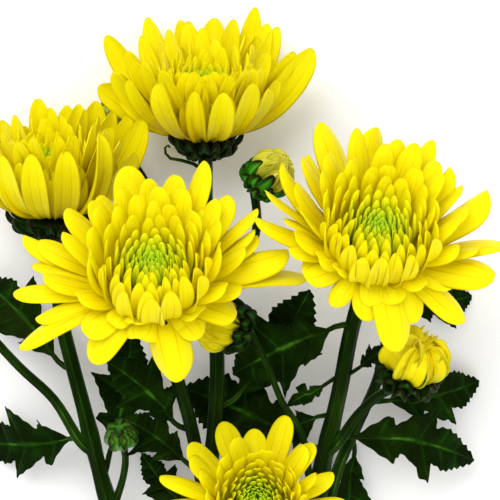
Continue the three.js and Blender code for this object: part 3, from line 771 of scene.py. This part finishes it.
def bud(name, seed, strips, youth, open_by, cover):
    """A half-open bud: four layers of folded petals round a core, in its cup of bracts.

    strips is how many petals the outer layer has, open_by how far their tips stand from the axis, and cover how
    far up the bud its bracts reach.
    """
    chance = random.Random(seed)
    head = head_frame(name + "_calyx", name + "_petals")
    radius, top = head["radius"], head["top"]
    young = youth > YOUNG_BUD
    bm = blade_mesh()
    core = bmesh.ops.create_uvsphere(bm, u_segments=20, v_segments=12, radius=1)["verts"]
    for v in core:
        turn, across = math.atan2(v.co.y, v.co.x), 0.78 * radius * math.hypot(v.co.x, v.co.y)
        v.co = at(head, turn, across, top * (0.46 + 0.42 * v.co.z))
        v[bm.verts.layers.float["youth"]] = youth
    for layer, (width, out, high) in enumerate(BUD_LAYERS):
        # The two outer layers stand open at their tips, and the two inner ones arch over and meet.
        knee_height, tip_radius = (0.48, (0.12 + open_by) * out) if layer < 2 else (1.12, 0.06)
        count = max(5, round(strips * out**0.6))
        for i in range(count):
            turn = math.tau * (i + 0.5 * layer) / count + chance.uniform(-0.12, 0.12)
            grow = chance.uniform(0.94, 1.06)
            blade(
                bm,
                at(head, turn, 0.35 * radius * out, 0.3 * MM),
                at(head, turn, 1.68 * radius * out * grow, knee_height * top),
                at(head, turn, tip_radius * radius, top * high * grow),
                round_of(head, turn),
                width * math.pi * radius * out / count,
                cup=0.4, narrow=0.5, widest=0.6, pointed=0.36,
                twist=chance.uniform(0.1, 0.4), curl=chance.uniform(0.1, 0.7),
                marks=(chance.random(), youth), phase=chance.random(),
            )
    skin = bud_olive if young else bud_yellow
    thicken(finish_piece(name + "_folded", bm, [skin], [name + "_petals"]), BUD_WALL)
    rows = [
        (7, (0.35, -0.8), (1.0, -0.9), (1.15, 0.1), 0.36 * radius),
        (7, (0.6, -0.4), (1.2, -0.1), (1.2, cover), 0.34 * radius),
        (7, (0.7, -0.2), (1.24, 0.4), (1.12, 1.9 * cover), 0.36 * radius),
    ]
    skin = bract_fresh if young else bract_green
    cup_of_bracts(name + "_calyx", head, 0.92 * radius, 0.55 * radius, rows, seed, skin)


bud("upper_bud", 21, strips=9, youth=0.45, open_by=0.1, cover=1.1)
bud("right_bud", 22, strips=7, youth=0.05, open_by=0.3, cover=0.35)
bud("lower_bud", 23, strips=7, youth=0.12, open_by=0.2, cover=0.45)
bud("back_bud", 24, strips=9, youth=0.45, open_by=0.1, cover=1.1)


def bud_material(name, stops):
    """Shut bud: smooth young tissue with a soft shine; each bract is paler up its middle and brown-edged."""
    made, tree, skin = new_material(name)
    uv = node(tree, "UVMap", {"uv_map": "UVMap"}).outputs["UV"]
    split = node(tree, "SeparateXYZ", Vector=uv)
    edge = from_midline(tree, split.outputs["X"])
    place = node(tree, "TexCoord").outputs["Object"]
    mottle = node(tree, "TexNoise", Vector=place, Scale=1 / (2.5 * MM), Detail=3.0)
    blend = maths(tree, "MULTIPLY_ADD", mottle.outputs["Fac"], 0.3, edge)
    tree.links.new(ramp(tree, blend, stops), skin.inputs["Base Color"])
    set_values(skin, Roughness=0.35, Specular_Tint=linear("#d0e070"))
    return made


bud_green = bud_material(
    "shut_bud_green", [(0.1, "#438a1c"), (0.4, "#2a6a10"), (0.56, "#174008"), (0.68, "#140f04")]
)
bud_lime = bud_material(
    "shut_bud_lime", [(0.1, "#c4cc50"), (0.35, "#9cb234"), (0.5, "#6a8a1e"), (0.62, "#5a4a14")]
)


def green_bud(name, stalk, seed, skin):
    """A shut bud: four rows of overlapping bracts round a ball."""
    chance = random.Random(seed)
    bm = merged(name)
    points = [v.co.copy() for v in bm.verts]
    bm.free()
    centre = middle_of(points)
    up = (centre - stem_lines[stalk][0][-1]).normalized()
    base = centre + up * min((point - centre).dot(up) for point in points)
    head = head_about(base, up, centre, points)
    radius, half_top = head["radius"], head["top"] / 2
    bm = blade_mesh()
    # Each bract hugs the ball from low on its side to near the top, and the outer rows are shorter.
    for layer, (count, out, start, end) in enumerate(SHUT_LAYERS):
        for i in range(count):
            turn = math.tau * (i + 0.5 * (layer % 2)) / count + chance.uniform(-0.1, 0.1)
            places = []
            for angle, swell in ((start, 0.9), ((start + end) / 2, 1.22), (end, 0.98)):
                angle = math.radians(angle + chance.uniform(-4, 4))
                height = half_top * (1 + out * swell * math.sin(angle))
                places.append(at(head, turn, radius * out * swell * math.cos(angle), height))
            blade(
                bm, *places, round_of(head, turn), 1.15 * math.pi * radius * out / count,
                cup=0.35, columns=4, rows=7, narrow=0.6, widest=0.5, pointed=0.6, furrow=0.0,
                marks=(chance.random(), 1.0),
            )
    thicken(finish_piece(name + "_bracts", bm, [skin], [name]), BUD_WALL)


green_bud("far_left_bud", "left_bud_stalk", 31, bud_green)
green_bud("top_left_bud", "top_left_bud_stalk", 32, bud_lime)
green_bud("small_green_bud", "small_bud_stalk", 33, bud_green)

# ---- Leaves ----------------------------------------------------------
# A chrysanthemum leaf is thin but firm, and dark green. It is cut into pairs of forward lobes with coarse
# teeth, and its midrib runs on into a short stalk.
LEAF_EDGE = [
    (0.0, 0.0), (0.1, 0.0), (0.16, 0.34), (0.25, 0.68), (0.32, 0.4), (0.42, 0.74), (0.53, 1.0), (0.59, 0.5),
    (0.68, 0.62), (0.78, 0.48), (0.88, 0.32), (0.95, 0.16), (1.0, 0.0),
]  # along the midrib, and half width as a share of the widest
VEINS = [0.25, 0.53, 0.69, 0.82]  # where the side veins leave the midrib
VEIN_HALF = 0.016  # half a vein's width, and half that of the furrow which it lies in
FURROW_HALF = 0.05
FURROW_DEPTH = 0.35 * MM
TEETH = 17
TOOTH = 0.11
STALK_HALF = 0.35 * MM  # the least half width of the blade, along its stalk
SHEAR = 0.6  # how far the lobes point forward, for each unit outwards
FOLD = 0.16  # how much the blade rises from its midrib to both sides
DROOP = 0.0072 / MM  # and how much it droops again towards its edges
WAVE = 0.9 * MM
LEAF_THICKNESS = 0.4 * MM
MIDRIB_STEPS = 12
MIDRIB_DROP = 0.35 * MM  # how far the midrib stands out below the blade
MIDRIB_RADIUS = (0.6 * MM, 1.1 * MM)  # at its foot, on the narrowest leaves and at most


def leaf_half_width(s):
    """Half width of a leaf at this share of its length, as a share of its widest."""
    for (s0, w0), (s1, w1) in zip(LEAF_EDGE, LEAF_EDGE[1:]):
        if s <= s1:
            return w0 + (w1 - w0) * (s - s0) / (s1 - s0)
    return 0.0


def leaf_material():
    """Leaf: a leathery blade with a faint waxy shine, paler along its veins; the cells make it finely matt."""
    made, tree, skin = new_material("chrysanthemum_leaf")
    uv = node(tree, "UVMap", {"uv_map": "UVMap"}).outputs["UV"]
    split = node(tree, "SeparateXYZ", Vector=uv)
    away = from_midline(tree, split.outputs["X"])
    # The midrib: a pale line that fades out within about a tenth of the half width.
    midrib = node(tree, "MapRange", Value=away, From_Min=0.015, From_Max=0.06, To_Min=1.0, To_Max=0.0)
    # Side veins: the blade is sheared forward, so each runs at one height of the map into its lobe.
    vein = node(tree, "Attribute", {"attribute_name": "youth"}).outputs["Fac"]
    place = node(tree, "TexCoord").outputs["Object"]
    mottle = node(tree, "TexNoise", Vector=place, Scale=1 / (7 * MM), Detail=4.0)
    cells = node(tree, "TexVoronoi", Vector=place, Scale=1 / (1.1 * MM))
    lines = maths(tree, "MAXIMUM", midrib.outputs[0], vein)
    tone = maths(tree, "MULTIPLY_ADD", lines, 0.35, mottle.outputs["Fac"])
    colour = ramp(tree, tone, [(0.3, "#030b01"), (0.55, "#081c02"), (0.85, "#153806"), (1.0, "#3c6a18")])
    tree.links.new(colour, skin.inputs["Base Color"])
    height = maths(tree, "MULTIPLY_ADD", lines, -0.8, cells.outputs["Distance"])
    bump = node(tree, "Bump", Strength=0.4, Distance=0.25 * MM, Height=height)
    tree.links.new(bump.outputs[0], skin.inputs["Normal"])
    set_values(skin, Roughness=0.4, Specular_IOR_Level=0.08, Specular_Tint=linear("#b4d45a"))
    return made


leaf_green = leaf_material()


def leaf_spine(name):
    """A packed leaf's midrib, from foot to tip, and its greatest half width."""
    whole = rings(name)
    spine = [whole[0][0]]
    half = 0
    for layer in whole:
        if len(layer) == 4:
            # Across a ring of four points, the nearest two are the midrib's and the farthest two the edges.
            pairs = [(a, b) for i, a in enumerate(layer) for b in layer[i + 1 :]]
            thin = min(pairs, key=lambda pair: (pair[0] - pair[1]).length)
            wide = max(pairs, key=lambda pair: (pair[0] - pair[1]).length)
            spine.append((thin[0] + thin[1]) / 2)
            half = max(half, (wide[0] - wide[1]).length / 2)
    return spine + [whole[-1][0]], half


def leaf_face(name):
    """The way a packed leaf's upper side looks."""
    bm = merged(name)
    face = Vector()
    for f in bm.faces:
        if f.normal.z > 0:
            face += f.normal * f.calc_area()
    bm.free()
    return face.normalized()


def leaf(name, seed):
    """A leaf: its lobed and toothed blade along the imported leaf's midrib, and its stalk and midrib."""
    chance = random.Random(seed)
    spine, half = leaf_spine(name)
    face = leaf_face(name)
    lengths = [0]
    for a, b in zip(spine, spine[1:]):
        lengths.append(lengths[-1] + (b - a).length)

    def on_spine(share):
        """The place on the midrib at this share of its length."""
        target = share * lengths[-1]
        for i in range(len(spine) - 1):
            if target <= lengths[i + 1] or i == len(spine) - 2:
                part = (target - lengths[i]) / (lengths[i + 1] - lengths[i])
                return along(spine, (i + part) / (len(spine) - 1))

    bm = blade_mesh()
    tint, youth = bm.verts.layers.float["tint"], bm.verts.layers.float["youth"]
    sheet = bmesh.ops.create_grid(bm, x_segments=10, y_segments=72, size=1, calc_uvs=True)["verts"]
    lean = chance.uniform(-0.15, 0.15)
    wave = chance.uniform(0, math.tau)
    skew = [chance.uniform(0.88, 1.1) for _ in range(2)]
    for v in sheet:
        u, s = v.co.x, (v.co.y + 1) / 2
        side = 1 if u > 0 else 0
        # The lobes of the two sides don't stand quite opposite each other.
        shifted = min(1, max(0, s + (0.015 if side else -0.01) * math.sin(math.pi * s)))
        edge = leaf_half_width(shifted)
        tooth = TOOTH * ((TEETH * shifted + 0.4 * side) % 1) * min(1, 4 * edge)
        across = u * max(STALK_HALF, (edge - tooth) * half * skew[side])
        forward = SHEAR * abs(across) * (1 - 0.5 * s)
        point = on_spine(s)
        tangent = (on_spine(min(1, s + 0.03)) - on_spine(max(0, s - 0.03))).normalized()
        normal = (face - tangent * face.dot(tangent)).normalized()
        wide = normal.cross(tangent)
        # The blade is folded up a little at the midrib, droops towards its edges and waves.
        fold = FOLD * abs(across) - DROOP * across**2
        wavy = WAVE * math.sin(wave + 9 * s + 2 * side) * (across / half) ** 2
        v.co = point + wide * across + tangent * forward + normal * (fold + wavy + lean * across)
        # A leaf has no youth, so that value marks its side veins, which lie in shallow furrows.
        near = min(abs(shifted - vein) for vein in VEINS)
        v[youth] = max(0, 1 - near / VEIN_HALF) * (0.8 if abs(u) < 0.85 else 0.0)
        v.co -= normal * FURROW_DEPTH * max(0, 1 - near / FURROW_HALF) * abs(u)
        v[tint] = chance.random() * 0.1
    thicken(finish_piece(name + "_blade", bm, [leaf_green], [name]), LEAF_THICKNESS)
    # The stalk and midrib, one tapering cord that stands out below the blade and is rooted in the stem.
    bm = blade_mesh()
    points = [on_spine(i / MIDRIB_STEPS) - face * MIDRIB_DROP for i in range(MIDRIB_STEPS)]
    points[0] = on_spine(0)
    points.insert(0, rooted_in(name, points[0], (points[0] - on_spine(0.05)).normalized())[0])
    thick = min(MIDRIB_RADIUS[1], MIDRIB_RADIUS[0] + 0.04 * half)
    radii = [thick * mix(1, 0.28, (i / MIDRIB_STEPS) ** 0.6) for i in range(MIDRIB_STEPS + 1)]
    rod(bm, points, radii, ribs=4, depth=0.06, sides=12)
    bmesh.ops.recalc_face_normals(bm, faces=bm.faces)
    finish_piece(name + "_midrib", bm, [stem_green], [])


FIRST_LEAF_SEED = 40
for number, name in enumerate(sorted(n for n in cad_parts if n.endswith("_leaf"))):
    leaf(name, FIRST_LEAF_SEED + number)

# ---- Table, lights and camera ----------------------------------------
# A plain pale table, a broad soft light above on the left, a weaker one on the right and a white surround that
# fills the rest.
FLOOR_HALF = 3.0
bm = bmesh.new()
bmesh.ops.create_grid(bm, x_segments=1, y_segments=1, size=FLOOR_HALF)
mesh = bpy.data.meshes.new("table")
bm.to_mesh(mesh)
bm.free()
table = bpy.data.objects.new("table", mesh)
bpy.context.scene.collection.objects.link(table)
table_white, _, skin = new_material("matt_white_table")
set_values(skin, Base_Color=linear("#fcfcfc"), Roughness=0.9)
mesh.materials.append(table_white)


def area_light(name, spot, target, size, power):
    """A round soft light at this spot, turned to the target. size is in metres and power in watts."""
    light = bpy.data.lights.new(name, "AREA")
    light.shape = "DISK"
    light.size = size
    light.energy = power
    lamp = bpy.data.objects.new(name, light)
    lamp.location = spot
    lamp.rotation_euler = (target - spot).to_track_quat("-Z", "Y").to_euler()
    bpy.context.scene.collection.objects.link(lamp)


FLOWERS_MIDDLE = Vector((27.5, 12.8, 0)) * MM  # from the foot of the front flower
FLOWERS_HEIGHT = 0.03
cluster = front_head["base"] + FLOWERS_MIDDLE
cluster.z = FLOWERS_HEIGHT
area_light("key_light", cluster + Vector((-0.5, 0.75, 1.3)), cluster, 1.3, 16)
area_light("fill_light", cluster + Vector((0.5, -0.6, 1.2)), cluster, 1.6, 9)
world = bpy.data.worlds.new("white_surround")
world.use_nodes = True
surround = world.node_tree.nodes["Background"]
surround.inputs["Color"].default_value = (1, 1, 1, 1)
surround.inputs["Strength"].default_value = 0.7
bpy.context.scene.world = world
bpy.context.scene.view_settings.view_transform = "Standard"

# The camera looks straight down on the flowers, from far enough away to flatten them slightly.
CAMERA_HEIGHT = 0.86
SENSOR_WIDTH = 36
FOCAL_LENGTH = 201.6
lens = bpy.data.cameras.new("camera")
lens.sensor_width = SENSOR_WIDTH
lens.lens = FOCAL_LENGTH
lens.clip_start = 0.01
camera = bpy.data.objects.new("camera", lens)
camera.location = (cluster.x, cluster.y, CAMERA_HEIGHT)
camera.rotation_euler = (0, 0, 0)
bpy.context.scene.collection.objects.link(camera)
bpy.context.scene.camera = camera
